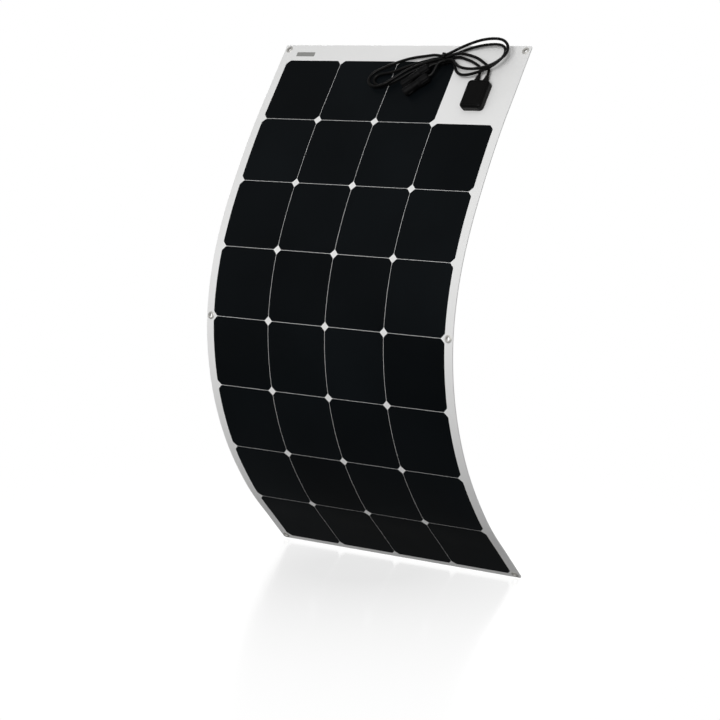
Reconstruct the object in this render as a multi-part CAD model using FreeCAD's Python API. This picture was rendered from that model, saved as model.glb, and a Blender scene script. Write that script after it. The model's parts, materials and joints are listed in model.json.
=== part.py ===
import FreeCAD, Part
import math
import os

# Semi-flexible solar sheet, bowed about its width axis and standing on its lower edge.
# Row frame: +X to the right seen from the cell side, +Z up, the cell side faces -Y.
# Origin: middle of the bottom of the bounding box. Millimetres and degrees.
#
# The bow is made of eight flat sections, one per cell row, numbered from the top.
# Each section is built flat in its own frame, then tilted into place:
# u across (= X), v up along the sheet from the section's lower end, n out of the cell face.
# n = 0 is the middle plane of the laminate.

os.makedirs("parts", exist_ok=True)
V = FreeCAD.Vector

# ---------------------------------------------------------------- sheet dimensions
CELL = 125.8            # side of one pseudo-square cell
GAP = 1.2               # gap between cells
PITCH = CELL + GAP      # also the length of one bending section
CORNER = 7.5            # leg of a cell's cut corner
COLS, ROWS = 4, 8
SIDE = 16.0             # outer seam line to the side edge
BOTTOM = 10.0           # last seam line to the bottom edge
TOP = 34.0              # first seam line to the top edge
HALF_WIDTH = COLS * PITCH / 2 + SIDE
SHEET_R = 4.0           # corner radius of the sheet
END = 0.35              # end of a section to the bending line

T_BACK = 1.10           # back sheet
T_ENC = 0.96            # adhesive layer with the cells in it
T_FILM = 0.38           # clear front film
T_CELL = 0.20           # cells and bus ribbons
LAY = 0.03              # air left between two layers
THICK = T_BACK + T_ENC + T_FILM + 2 * LAY
FRONT = THICK / 2       # front face of the laminate

ENC_0 = -FRONT + T_BACK + LAY
ENC_1 = ENC_0 + T_ENC
POCKET = ENC_1 - T_CELL - 0.03      # floor of the pockets for cells and ribbons
CELL_0 = POCKET + 0.01              # back of the cells and ribbons
CELL_FIT = 0.1                      # pocket larger than the cell, each side
RIBBON_FIT = 0.2                    # pocket larger than the ribbon, each side

TAB_W = 16.4            # width of the tab that carries a middle eyelet
TAB_DROP = 8.3          # its length below the bending line
NOTCH_FIT_U, NOTCH_FIT_V = 0.4, 0.6     # notch larger than the tab

# lean of each section from the vertical, top row first (+ leans back)
LEAN = [34.5, 30.5, 24.5, 12.0, -4.5, -20.0, -34.0, -43.5]
SECTION_LEN = [PITCH + TOP] + [PITCH] * (ROWS - 2) + [PITCH + BOTTOM]
TOP_V = SECTION_LEN[0]  # top edge of the sheet in section 1

SHIFT_Y = 102.5135      # moves the middle of the outline's depth to Y = 0
SHIFT_Z = FRONT * math.sin(math.radians(-LEAN[-1]))     # puts the lowest edge on Z = 0


# ---------------------------------------------------------------- placing and export
def section_placements():
    """Placement of each section's frame, chained up from the bottom edge"""
    placements = {}
    y, z = SHIFT_Y, SHIFT_Z
    for row in range(ROWS, 0, -1):
        lean, length = LEAN[row - 1], SECTION_LEN[row - 1]
        turn = FreeCAD.Rotation(V(1, 0, 0), 90.0 - lean)
        placements[row] = FreeCAD.Placement(V(0, y, z), turn)
        y += length * math.sin(math.radians(lean))
        z += length * math.cos(math.radians(lean))
    return placements


PLACEMENTS = section_placements()


def moved(shape, placement):
    copy = shape.copy()
    copy.Placement = placement.multiply(copy.Placement)
    return copy


def export(name, shapes, row=1):
    """Moves the shapes from the frame of section row to the row frame and writes them"""
    if not isinstance(shapes, list):
        shapes = [shapes]
    solids = []
    for shape in shapes:
        solids += moved(shape, PLACEMENTS[row]).Solids
    for solid in solids:
        assert solid.isValid() and solid.Volume > 0, name
    out = solids[0] if len(solids) == 1 else Part.makeCompound(solids)
    out.exportStep("parts/" + name + ".step")


# ---------------------------------------------------------------- small builders
def plate(points, n0, n1):
    corners = [V(u, v, n0) for u, v in points]
    return Part.Face(Part.makePolygon(corners + [corners[0]])).extrude(V(0, 0, n1 - n0))


def rect(u0, v0, u1, v1):
    return [(u0, v0), (u1, v0), (u1, v1), (u0, v1)]


def block(u0, v0, n0, u1, v1, n1):
    return Part.makeBox(u1 - u0, v1 - v0, n1 - n0, V(u0, v0, n0))


def cylinder(u, v, n0, n1, radius):
    return Part.makeCylinder(radius, n1 - n0, V(u, v, n0), V(0, 0, 1))


# ---------------------------------------------------------------- eyelets and back washers
EYE_R, EYE_FLANGE_R, EYE_BARREL_R = 3.5, 7.0, 4.4
EYE_INSET = 10.0        # corner eyelet to each edge
EYE_MID_INSET = 9.4     # middle eyelet to the side edge
HOLE_R = 4.5            # hole in the laminate
WASHER_T = 0.8

# section: name, distance from the centre line (a mirrored pair), v
EYELETS = {
    1: ("top", HALF_WIDTH - EYE_INSET, TOP_V - EYE_INSET),
    4: ("middle", HALF_WIDTH - EYE_MID_INSET, 0.0),
    ROWS: ("bottom", HALF_WIDTH - EYE_INSET, EYE_INSET),
}


def eyelet_centres(row):
    if row not in EYELETS:
        return []
    _, u, v = EYELETS[row]
    return [(-u, v), (u, v)]


def eyelet(u, v):
    """Rolled eyelet: domed front flange, barrel, small rolled lip behind the washer"""
    front = FRONT + 0.02
    back = -FRONT - 0.85
    # radius, n
    profile = [
        (EYE_R, front + 0.95), (EYE_R + 0.9, front + 1.2), (EYE_R + 2.0, front + 0.9),
        (EYE_FLANGE_R, front + 0.25), (EYE_FLANGE_R, front), (EYE_BARREL_R, front),
        (EYE_BARREL_R, back), (EYE_BARREL_R + 0.9, back),
        (EYE_BARREL_R + 0.5, back - 0.7), (EYE_R, back - 0.7),
    ]
    points = [V(radius, 0, n) for radius, n in profile]
    face = Part.Face(Part.makePolygon(points + [points[0]]))
    solid = face.revolve(V(0, 0, 0), V(0, 0, 1), 360)
    solid.translate(V(u, v, 0))
    return solid


def washer(u, v):
    n1 = -FRONT - 0.03
    disc = cylinder(u, v, n1 - WASHER_T, n1, EYE_FLANGE_R)
    return disc.cut(cylinder(u, v, n1 - 2, n1 + 1, EYE_BARREL_R + 0.06))


for row, (name, _, _) in EYELETS.items():
    export("eyelets_" + name, [eyelet(u, v) for u, v in eyelet_centres(row)], row)
    export("eyelet_washers_" + name, [washer(u, v) for u, v in eyelet_centres(row)], row)

# ---------------------------------------------------------------- junction box dimensions
BOX_U, BOX_V = 197.5, 55.0      # centre of the box, on the empty cell place of row 1
BOX_W, BOX_L, BOX_H = 44.0, 56.0, 14.0
BOX_R = 7.0
BOX_U0, BOX_U1 = BOX_U - BOX_W / 2, BOX_U + BOX_W / 2
BOX_V0, BOX_V1 = BOX_V - BOX_L / 2, BOX_V + BOX_L / 2
SLOT_HALF_U, SLOT_HALF_V = 6.5, 9.0     # slot for the ribbon ends under the box
PAD_T = 0.8
BASE_0 = FRONT + PAD_T + 0.02   # underside of the base
BASE_1 = FRONT + BOX_H - 4.2    # rim of the base
LID_0 = BASE_1 + 0.76
LID_1 = FRONT + BOX_H

LEAD_R = 2.6
EXIT_U = [BOX_U - 9.0, BOX_U + 9.0]     # left and right lead exit
EXIT_N = 7.4                    # height of a lead's axis at the box wall
MOUTH_V = 95.0                  # where a lead leaves its boot


def ribbon_slot(n0, n1):
    return block(BOX_U - SLOT_HALF_U, BOX_V - SLOT_HALF_V, n0,
                 BOX_U + SLOT_HALF_U, BOX_V + SLOT_HALF_V, n1)


# ---------------------------------------------------------------- bus ribbons
RIBBON_W = 5.0
BOX_RIBBON_U0, BOX_RIBBON_U1 = BOX_U - RIBBON_W / 2, BOX_U + RIBBON_W / 2
LOW_V, HIGH_V, BOTTOM_V = 129.5, 141.0, 3.0     # lower edges of the ribbons across the sheet

# u0, v0, u1, v1 of each straight run
CENTRE_RUN = (-66, LOW_V, 66, LOW_V + RIBBON_W)
LONG_RUN = (-192, HIGH_V, BOX_RIBBON_U1, HIGH_V + RIBBON_W)
DOWN_RUN = (BOX_RIBBON_U0, 58, BOX_RIBBON_U1, HIGH_V)   # joins the long run to the box
LOWER_RUN = (BOX_RIBBON_U0, 2.0, BOX_RIBBON_U1, 52)     # from below up into the box
TOP_RUNS = [CENTRE_RUN, LONG_RUN, DOWN_RUN, LOWER_RUN]
BOTTOM_RUNS = [(side * PITCH - 63, BOTTOM_V, side * PITCH + 63, BOTTOM_V + RIBBON_W)
               for side in (-1, 1)]


def ribbon(run):
    return plate(rect(*run), CELL_0, CELL_0 + T_CELL)


def ribbon_pocket(run):
    u0, v0, u1, v1 = run
    outline = rect(u0 - RIBBON_FIT, v0 - RIBBON_FIT, u1 + RIBBON_FIT, v1 + RIBBON_FIT)
    return plate(outline, POCKET, ENC_1 + 1)


corner_ribbon = ribbon(LONG_RUN).fuse(ribbon(DOWN_RUN)).removeSplitter()
export("bus_ribbons_top", [ribbon(CENTRE_RUN), corner_ribbon, ribbon(LOWER_RUN)])
export("bus_ribbons_bottom", [ribbon(run) for run in BOTTOM_RUNS], ROWS)


# ---------------------------------------------------------------- laminate, section by section
def cell_outline(col, row_v, grow=0.0):
    u0 = (col - COLS / 2.0) * PITCH + GAP / 2 - grow
    u1 = u0 + CELL + 2 * grow
    v0, v1 = row_v + GAP / 2 - grow, row_v + GAP / 2 + CELL + grow
    leg = CORNER + grow * 0.6
    return [(u0 + leg, v0), (u1 - leg, v0), (u1, v0 + leg), (u1, v1 - leg),
            (u1 - leg, v1), (u0 + leg, v1), (u0, v1 - leg), (u0, v0 + leg)]


def section_outline(row):
    """Section 4 carries the tabs of the middle eyelets, section 5 the notches for them"""
    edge, length = HALF_WIDTH, SECTION_LEN[row - 1]
    low = 0.0 if row == ROWS else END
    high = length if row == 1 else length - END
    tab = edge - TAB_W
    if row == 4:
        return [(-tab, low), (tab, low), (tab, -TAB_DROP), (edge, -TAB_DROP),
                (edge, high), (-edge, high), (-edge, -TAB_DROP), (-tab, -TAB_DROP)]
    if row == 5:
        notch = tab - NOTCH_FIT_U
        step = length - TAB_DROP - NOTCH_FIT_V
        return [(-edge, low), (edge, low), (edge, step), (notch, step),
                (notch, high), (-notch, high), (-notch, step), (-edge, step)]
    return rect(-edge, low, edge, high)


def layer(row, n0, n1):
    """One layer of a section, with the sheet's round corners on the end sections"""
    solid = plate(section_outline(row), n0, n1)
    if row not in (1, ROWS):
        return solid
    end_v = TOP_V if row == 1 else 0.0
    corners = [e for e in solid.Edges
               if abs(e.Vertexes[0].Z - e.Vertexes[-1].Z) > 1e-6
               and abs(abs(e.Vertexes[0].X) - HALF_WIDTH) < 1e-6
               and abs(e.Vertexes[0].Y - end_v) < 1e-6]
    return solid.makeFillet(SHEET_R, corners)


def export_section(row):
    row_v = BOTTOM if row == ROWS else 0.0
    cols = range(COLS - 1) if row == 1 else range(COLS)     # the box takes the last place
    holes = [cylinder(u, v, -5, 5, HOLE_R) for u, v in eyelet_centres(row)]
    runs = {1: TOP_RUNS, ROWS: BOTTOM_RUNS}.get(row, [])
    pockets = [plate(cell_outline(c, row_v, CELL_FIT), POCKET, ENC_1 + 1) for c in cols]
    pockets += [ribbon_pocket(run) for run in runs]

    back = layer(row, -FRONT, -FRONT + T_BACK)
    encapsulant = layer(row, ENC_0, ENC_1).cut(pockets + holes)
    film = layer(row, FRONT - T_FILM, FRONT)
    if row == 1:
        film = film.cut(ribbon_slot(-5, 5))
    if holes:
        back, film = back.cut(holes), film.cut(holes)
    cells = [plate(cell_outline(c, row_v), CELL_0, CELL_0 + T_CELL) for c in cols]

    export("back_sheet_row_%d" % row, back, row)
    export("encapsulant_row_%d" % row, encapsulant, row)
    export("front_film_row_%d" % row, film, row)
    export("solar_cells_row_%d" % row, cells, row)


for row in range(1, ROWS + 1):
    export_section(row)


# ---------------------------------------------------------------- junction box
def box_plate(inset, n0, n1):
    """Box outline moved in by inset, with round corners"""
    solid = block(BOX_U0 + inset, BOX_V0 + inset, n0, BOX_U1 - inset, BOX_V1 - inset, n1)
    upright = [e for e in solid.Edges if abs(e.Vertexes[0].Z - e.Vertexes[1].Z) > 1e-6]
    return solid.makeFillet(BOX_R - inset, upright)


def exit_cylinder(u, v0, v1, radius):
    """Cylinder on the axis of a lead exit, along v"""
    return Part.makeCylinder(radius, v1 - v0, V(u, v0, EXIT_N), V(0, 1, 0))


def adhesive_pad():
    return box_plate(0.5, FRONT + 0.02, FRONT + PAD_T).cut(ribbon_slot(0, 5))


def box_base():
    base = box_plate(0, BASE_0, BASE_1)
    base = base.cut(box_plate(2.4, BASE_0 + 1.6, BASE_1 + 5))
    base = base.cut(ribbon_slot(0, BASE_0 + 3))
    # raised inner rim that the gasket sits round
    rim = box_plate(2.15, BASE_1 - 2.0, BASE_1 + 1.3)
    base = base.fuse(rim.cut(box_plate(3.1, BASE_1 - 3.0, BASE_1 + 2)))
    # wall thickened round the lead exits
    hub_v = BOX_V1 - 3.2
    for u in EXIT_U:
        hub = exit_cylinder(u, hub_v, BOX_V1 + 0.2, 4.6)
        base = base.fuse(hub.common(block(BOX_U0, hub_v, BASE_0, BOX_U1, BOX_V1, BASE_1)))
    for u in EXIT_U:
        base = base.cut(exit_cylinder(u, BOX_V1 - 6, BOX_V1 + 6, LEAD_R + 0.15))
    # two clip posts inside
    for u in (BOX_U0 + 9, BOX_U1 - 9):
        base = base.fuse(cylinder(u, BOX_V0 + 9, BASE_0 + 1.0, BASE_1 - 2.5, 2.0))
    return base.removeSplitter()


def lid_gasket():
    return box_plate(0.8, BASE_1 + 0.02, BASE_1 + 0.72).cut(
        box_plate(1.8, BASE_1 - 1, BASE_1 + 3))


def box_lid():
    """Shell with a wide bevel round a flat top"""
    lid = box_plate(0, LID_0, LID_1)
    rim = [e for e in lid.Edges if all(abs(v.Z - LID_1) < 1e-6 for v in e.Vertexes)]
    return lid.makeChamfer(2.2, rim).cut(box_plate(1.9, LID_0 - 1, LID_1 - 2.0))


def inside_block(u, half_width, v0, v1, n0, n1):
    """Block centred on u; v from the box centre, n from the underside of the base"""
    return block(u - half_width, BOX_V + v0, BASE_0 + n0,
                 u + half_width, BOX_V + v1, BASE_0 + n1)


def side_terminal(u):
    """Bar with a hollow clip open along v"""
    clip = inside_block(u, 2.6, 1.5, 6.0, 2.3, 4.3).cut(
        inside_block(u, 1.8, 0.5, 7.0, 2.29, 3.5))
    return inside_block(u, 3.2, -3.5, 7.0, 1.65, 2.3).fuse(clip).removeSplitter()


def middle_terminal(u):
    """Short bar with a solid clip, set further down the box"""
    clip = inside_block(u, 2.6, -13.4, -10.2, 2.3, 3.4)
    return inside_block(u, 3.2, -14.0, -9.6, 1.65, 2.3).fuse(clip).removeSplitter()


def diode(u):
    length = 7.0
    start = V(u - length / 2, BOX_V - 11.8, BASE_0 + 4.6)
    return Part.makeCylinder(2.0, length, start, V(1, 0, 0))


def lead_boot(u):
    """Tapered sleeve with a collar against the box wall"""
    wall = BOX_V1 + 0.1
    cone = Part.makeCone(4.9, 3.6, MOUTH_V - 0.4 - wall, V(u, wall, EXIT_N), V(0, 1, 0))
    boot = cone.fuse(exit_cylinder(u, wall, wall + 2.2, 5.4))
    return boot.cut(exit_cylinder(u, wall - 5, wall + 25, LEAD_R + 0.08)).removeSplitter()


export("box_adhesive_pad", adhesive_pad())
export("junction_box_base", box_base())
export("box_lid_gasket", lid_gasket())
export("junction_box_lid", box_lid())
export("box_terminals",
       [side_terminal(BOX_U - 11.5), middle_terminal(BOX_U), side_terminal(BOX_U + 11.5)])
export("bypass_diodes", [diode(BOX_U - 8.5), diode(BOX_U + 8.5)])
export("lead_tails", [exit_cylinder(u, BOX_V + 9.0, MOUTH_V, LEAD_R) for u in EXIT_U])
export("lead_boots", [lead_boot(u) for u in EXIT_U])

# ---------------------------------------------------------------- leads
# Each lead passes the cable tie three times: strands side by side, one lead over the other.
TIE = V(106.5, 128.0, 0)
TIE_ALONG = V(-0.94, -0.34, 0).normalize()      # way the strands run through the tie
TIE_ACROSS = V(TIE_ALONG.y, -TIE_ALONG.x, 0)
STRAND_STEP = 6.1
LOW_N, HIGH_N = 6.5, 12.4       # strand heights of the positive and the negative lead

CONNECTOR_DIR = V(-0.743, -0.669, 0).normalize()    # way the connectors point
PLUG_REAR = V(79.5, 110.0, 10.8)
SOCKET_REAR = V(86.5, 90.2, 10.8)
CRIMP = 24.0                    # how far a lead runs into its connector

# Stations (u, v, n) of a lead's four free stretches: box to tie, loop on the left,
# loop on the right, tie to connector.
POSITIVE_STRETCHES = [
    [(EXIT_U[0] - 0.4, 102, EXIT_N), (EXIT_U[0] - 2.4, 109.5, 7.2), (179.3, 115.5, 7),
     (165.6, 122.8, 6.8), (147.4, 129.4, 6.6), (127.7, 132.9, 6.5)],
    [(87.5, 122.8, 6.3), (69.5, 116.3, 6.2), (49.5, 106.8, 6), (32.5, 95.5, 6),
     (19.5, 85.9, 6), (5.5, 77.7, 6), (-8.5, 73.3, 6), (-21.5, 73.5, 6),
     (-30.5, 78.5, 6), (-33.5, 86.2, 6), (-29, 93.5, 6), (-17.5, 97.4, 6),
     (-2.5, 100.3, 6), (11.5, 105.3, 6), (25.5, 111.8, 6), (43.5, 118.5, 6),
     (61.5, 123.9, 6.2), (81.5, 129.1, 6.4)],
    [(126.7, 141.5, 7.2), (145.5, 148.5, 8.5), (169.5, 154.6, 10), (195.5, 157, 11.5),
     (215.7, 154.5, 12.6), (226.2, 146.5, 13.6), (229.5, 134.9, 14), (224.2, 122.8, 14.3),
     (213.2, 111.1, 14.3), (199.5, 102.5, 14.3), (185.5, 96.9, 14), (170.5, 93.3, 13.2),
     (155.5, 93.6, 11.8), (144.5, 98.4, 10.2), (135, 107.7, 8.8), (128.5, 117.2, 7.7),
     (120.7, 123.3, 6.8)],
    [(97.5, 119.2, 7.3), (90.6, 117.3, 9.3)],
]
NEGATIVE_STRETCHES = [
    [(EXIT_U[1] - 0.6, 102.5, 7.6), (EXIT_U[1] - 4.2, 111.5, 8.4), (193, 118.5, 9.8),
     (176.6, 127.6, 11), (154.2, 134.3, 12), (129.8, 136.5, 12.3)],
    [(87.5, 123.2, 12.3), (69.5, 117.2, 12.2), (48.5, 108.4, 12.2), (30.5, 97.5, 12.2),
     (15.5, 85, 12.2), (1.5, 74.3, 12.2), (-12.5, 67.8, 11.8), (-26.5, 67.8, 11),
     (-37.5, 74, 10.2), (-42, 85, 9.4), (-37.5, 96.5, 8.6), (-26.5, 105, 8),
     (-10.5, 113.1, 8), (7.5, 121.1, 8), (26.5, 127.3, 8.5), (47.5, 130.8, 9.6),
     (67.5, 132.6, 11), (85.6, 133.5, 12.1)],
    [(125.2, 144.8, 12.6), (142.5, 153.5, 13.4), (164.5, 161.6, 14.6), (187.5, 165.4, 16),
     (210.4, 164.2, 17.4), (225.4, 157.6, 18.6), (235.4, 146.2, 19.6), (237, 133.5, 20.2),
     (231.5, 122.4, 20.4), (220.5, 112.4, 20.4), (205.5, 105.1, 20.4), (187.5, 101.2, 20.2),
     (169.5, 101.2, 19.4), (152.5, 105.1, 17.6), (139.5, 112, 15.6), (130.1, 119.9, 13.9),
     (122, 123.8, 12.9)],
    [(99.4, 117.6, 13.3), (96.6, 111, 12.9), (94.3, 103, 11.8)],
]


def tie_pass(strand, n, way):
    """Straight run through the tie; way is 1 leftward, -1 rightward"""
    centre = TIE + TIE_ACROSS * (strand * STRAND_STEP) + V(0, 0, n)
    return [centre + TIE_ALONG * (way * d) for d in (-5.0, 0.0, 5.0)]


def lead_route(exit_u, stretches, n, connector_rear):
    to_tie, left_loop, right_loop, to_connector = [[V(*p) for p in s] for s in stretches]
    out_of_boot = [V(exit_u, MOUTH_V + d, EXIT_N) for d in (0.3, 2.5)]
    into_connector = [connector_rear + CONNECTOR_DIR * d
                      for d in (-6.0, -3.0, 0.0, 3.0, 6.0, 12.0, 18.0, CRIMP)]
    return (out_of_boot + to_tie + tie_pass(0, n, 1)
            + left_loop + tie_pass(1, n, -1)
            + right_loop + tie_pass(-1, n, 1)
            + to_connector + into_connector)


def cable(points, radius):
    """Smooth curve through the points; rings carried along it without twist, then skinned"""
    # centripetal parameters: steps go with the square root of the chord
    steps = [0.0]
    for start, end in zip(points, points[1:]):
        steps.append(steps[-1] + math.sqrt((end - start).Length))
    curve = Part.BSplineCurve()
    curve.interpolate(Points=points, Parameters=[step / steps[-1] for step in steps])
    length = curve.length()
    count = int(length / 4.0)
    rings, side = [], None
    for i in range(count + 1):
        at = curve.FirstParameter
        if i:
            at = curve.parameterAtDistance(length * i / count, curve.FirstParameter)
        centre, tangent = curve.value(at), curve.tangent(at)[0]
        if side is None:
            side = tangent.cross(V(0, 0, 1)).normalize()
        side = (side - tangent * side.dot(tangent)).normalize()
        circle = Part.Circle(centre, tangent, radius)
        circle.XAxis = side
        rings.append(Part.Wire([circle.toShape()]))
    solid = Part.makeLoft(rings, True, True)
    # the loft may come back as a shell
    if solid.ShapeType != "Solid":
        solid = Part.Solid(solid)
    ideal = math.pi * radius ** 2 * length
    assert solid.isValid() and abs(solid.Volume - ideal) < 0.03 * ideal
    return solid


def cable_tie():
    """Rounded strap round the six strands, with a head and a tail end on top"""
    half = STRAND_STEP + LEAD_R + 0.3
    n0, n1 = LOW_N - LEAD_R - 0.3, HIGH_N + LEAD_R + 0.3
    wall, width = 1.3, 3.8

    def loop(grow, depth, radius):
        solid = block(-half - grow, -depth / 2, n0 - grow, half + grow, depth / 2, n1 + grow)
        long_edges = [e for e in solid.Edges if abs(e.Vertexes[0].Y - e.Vertexes[1].Y) > 1]
        return solid.makeFillet(radius, long_edges)

    strap = loop(wall, width, 3.2).cut(loop(0, 6, 2.2))
    head = Part.makeBox(6.4, 5.4, 4.6, V(-3.2, -2.7, n1 + 0.1))
    tail = Part.makeBox(4.2, width, 1.2, V(3.0, -width / 2, n1 + 2.3))
    tie = strap.fuse([head, tail]).removeSplitter()
    angle = math.degrees(math.atan2(TIE_ACROSS.y, TIE_ACROSS.x))
    tie.Placement = FreeCAD.Placement(TIE, FreeCAD.Rotation(V(0, 0, 1), angle))
    return tie


positive = lead_route(EXIT_U[0], POSITIVE_STRETCHES, LOW_N, PLUG_REAR)
negative = lead_route(EXIT_U[1], NEGATIVE_STRETCHES, HIGH_N, SOCKET_REAR)
export("lead_positive", cable(positive, LEAD_R))
export("lead_negative", cable(negative, LEAD_R))
export("cable_tie", cable_tie())


# ---------------------------------------------------------------- connectors
# Built along +Z from the rear end at z = 0, then turned into the connectors' direction.
def round_bar(radius, z0, z1):
    return cylinder(0, 0, z0, z1, radius)


def turned(shape, angle):
    shape.rotate(V(0, 0, 0), V(0, 0, 1), angle)
    return shape


def gland_nut():
    """Ribbed sleeve, open at the front, with a lead hole in its rear wall"""
    ribs = [turned(Part.makeBox(1.5, 1.8, 14.5, V(7.2, -0.9, 3.0)), i * 30.0)
            for i in range(12)]
    nut = round_bar(8.0, 0, 19).fuse(ribs)
    nut = nut.cut(round_bar(LEAD_R + 0.25, -1, 5)).cut(round_bar(6.35, 2.4, 20))
    return nut.removeSplitter()


def seal():
    return round_bar(5.9, 2.6, 5.4).cut(round_bar(LEAD_R + 0.12, 0, 8))


def plug_housing():
    """Stepped body with two hooked arms"""
    body = round_bar(6.1, 5.6, 20).fuse(
        [round_bar(8.1, 19.4, 23), round_bar(7.3, 23, 40), round_bar(5.6, 40, 58)])
    for angle in (0, 180):
        hook = Part.makeBox(1.4, 4.4, 3.0, V(7.6, -2.2, 52.5))
        arm = Part.makeBox(1.8, 4.4, 19.0, V(6.2, -2.2, 38.0)).fuse(hook)
        body = body.fuse(turned(arm, angle))
    body = body.cut(round_bar(3.3, 4, 50)).cut(round_bar(4.1, 44, 60))
    return body.removeSplitter()


def socket_housing():
    """Stepped body with two side windows"""
    body = round_bar(6.1, 5.6, 20).fuse(
        [round_bar(8.1, 19.4, 23), round_bar(7.3, 23, 34), round_bar(7.9, 34, 52)])
    body = body.cut(round_bar(3.3, 4, 41)).cut(round_bar(5.8, 40, 60))
    for angle in (0, 180):
        body = body.cut(turned(Part.makeBox(6, 4.8, 8, V(4.5, -2.4, 38)), angle))
    return body.removeSplitter()


def pin_contact():
    tip = Part.makeCone(2.0, 1.0, 2.0, V(0, 0, 54))
    return round_bar(2.6, CRIMP + 0.2, 33).fuse(
        [round_bar(2.0, 33, 54), tip, round_bar(3.15, 33, 34.5)]).removeSplitter()


def sleeve_contact():
    sleeve = round_bar(2.6, CRIMP + 0.2, 33).fuse(
        [round_bar(3.15, 33, 34.5), round_bar(2.9, 34.4, 50)])
    return sleeve.cut(round_bar(2.05, 38, 52)).removeSplitter()


def export_connector(name, rear, housing, contact):
    placement = FreeCAD.Placement(rear, FreeCAD.Rotation(V(0, 0, 1), CONNECTOR_DIR))
    pieces = {"housing": housing, "contact": contact, "seal": seal(), "gland_nut": gland_nut()}
    for piece, shape in pieces.items():
        export(name + "_" + piece, moved(shape, placement))


export_connector("plug", PLUG_REAR, plug_housing(), pin_contact())
export_connector("socket", SOCKET_REAR, socket_housing(), sleeve_contact())
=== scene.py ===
"""Flexible solar panel: eight rows of four cells, with a junction box in place of the upper right one.

Row frame: x runs across the panel, z up, and the cell face looks towards -y. The sheet bends
between its rows. Row 1 is the top row, bending zone 0 the lowest.
Pieces are built flat in millimetres as (u across, s up the sheet, n out of the cell face), with
n = 0 in the middle of the laminate, and are then mapped to the row frame in metres.
"""
import json
import math

import bmesh
import bpy
import numpy as np
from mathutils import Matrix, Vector


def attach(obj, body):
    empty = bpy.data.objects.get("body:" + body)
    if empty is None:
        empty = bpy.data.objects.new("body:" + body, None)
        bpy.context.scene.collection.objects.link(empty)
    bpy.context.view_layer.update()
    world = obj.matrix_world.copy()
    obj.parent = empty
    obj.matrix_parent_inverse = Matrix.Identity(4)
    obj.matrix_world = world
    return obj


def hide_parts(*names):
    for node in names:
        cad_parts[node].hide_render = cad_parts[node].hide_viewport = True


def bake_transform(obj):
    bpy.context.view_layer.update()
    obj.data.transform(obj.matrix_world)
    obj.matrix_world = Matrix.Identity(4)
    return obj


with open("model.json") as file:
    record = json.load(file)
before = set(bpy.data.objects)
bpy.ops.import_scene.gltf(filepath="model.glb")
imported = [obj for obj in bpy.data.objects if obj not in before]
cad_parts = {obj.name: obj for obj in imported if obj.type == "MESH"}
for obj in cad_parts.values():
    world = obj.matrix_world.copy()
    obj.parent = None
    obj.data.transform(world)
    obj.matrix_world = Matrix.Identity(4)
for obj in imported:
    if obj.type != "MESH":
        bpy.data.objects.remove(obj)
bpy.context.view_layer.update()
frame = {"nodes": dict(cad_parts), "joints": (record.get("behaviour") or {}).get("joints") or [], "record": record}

MM = 0.001

# ------------------------------------------------------------------ sheet dimensions (mm)
PITCH = 127.0                   # cell pitch and length of one stiff section
BELOW, ABOVE = 10.0, 34.0       # margins under and over the cell grid
LENGTH = 8 * PITCH + BELOW + ABOVE
HALF_WIDTH = 270.0
FACE = 2.5 / 2                  # half the laminate's thickness: n of the cell face
BEND_START = BELOW + PITCH / 2  # the straight lower end stops here
BEND_END = BELOW + 7.5 * PITCH  # the straight upper end starts here
TOP_LINE = BELOW + 7 * PITCH    # bending line under the top section
STEP = PITCH / 28               # spacing of the crosswise cuts that let a piece bend

# ------------------------------------------------------------------ bow of the sheet
joints = {joint["name"]: joint for joint in frame["joints"]}
mounts = {mount["name"]: mount for mount in frame["record"]["mounts"]}
hinge = {k: Vector(joints["flex_%d_%d" % (k, k + 1)]["pos_m"]) / MM for k in range(1, 8)}


def mount_lean(name):
    axis = mounts[name]["axis"]
    return math.atan2(axis[2], -axis[1])


def hinge_lean(k):
    span = hinge[k - 1] - hinge[k]
    return math.atan2(span.y, span.z)


# lean of each section towards +y, bottom first
LEANS = [mount_lean("eyelet_bottom_left"), *(hinge_lean(k) for k in range(7, 1, -1)),
         mount_lean("eyelet_top_left")]
# (y, z) of the lower edge, the seven bending lines and the upper edge
LINES = [(hinge[7].y - (BELOW + PITCH) * math.sin(LEANS[0]),
          hinge[7].z - (BELOW + PITCH) * math.cos(LEANS[0]))]
LINES += [(hinge[k].y, hinge[k].z) for k in range(7, 0, -1)]
LINES += [(hinge[1].y + (PITCH + ABOVE) * math.sin(LEANS[7]),
           hinge[1].z + (PITCH + ABOVE) * math.cos(LEANS[7]))]
TURNS = [LEANS[i + 1] - LEANS[i] for i in range(7)]
BULGES = [0.0] + [(TURNS[i] + TURNS[i + 1]) / 8 for i in range(6)] + [0.0]


def end_shares(zone):
    """bulge at the lower and upper end of a zone, as shares of its turn"""
    return BULGES[zone] / TURNS[zone], BULGES[zone + 1] / TURNS[zone]


def turn_share(t, low, high):
    """share of the turn reached at t along a zone, with matching slopes at both ends"""
    return ((2 * t**3 - 3 * t**2 + 1) * low + (t**3 - 2 * t**2 + t) * 2 * low
            + (-2 * t**3 + 3 * t**2) * (1 - high) + (t**3 - t**2) * 2 * high)


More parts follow.
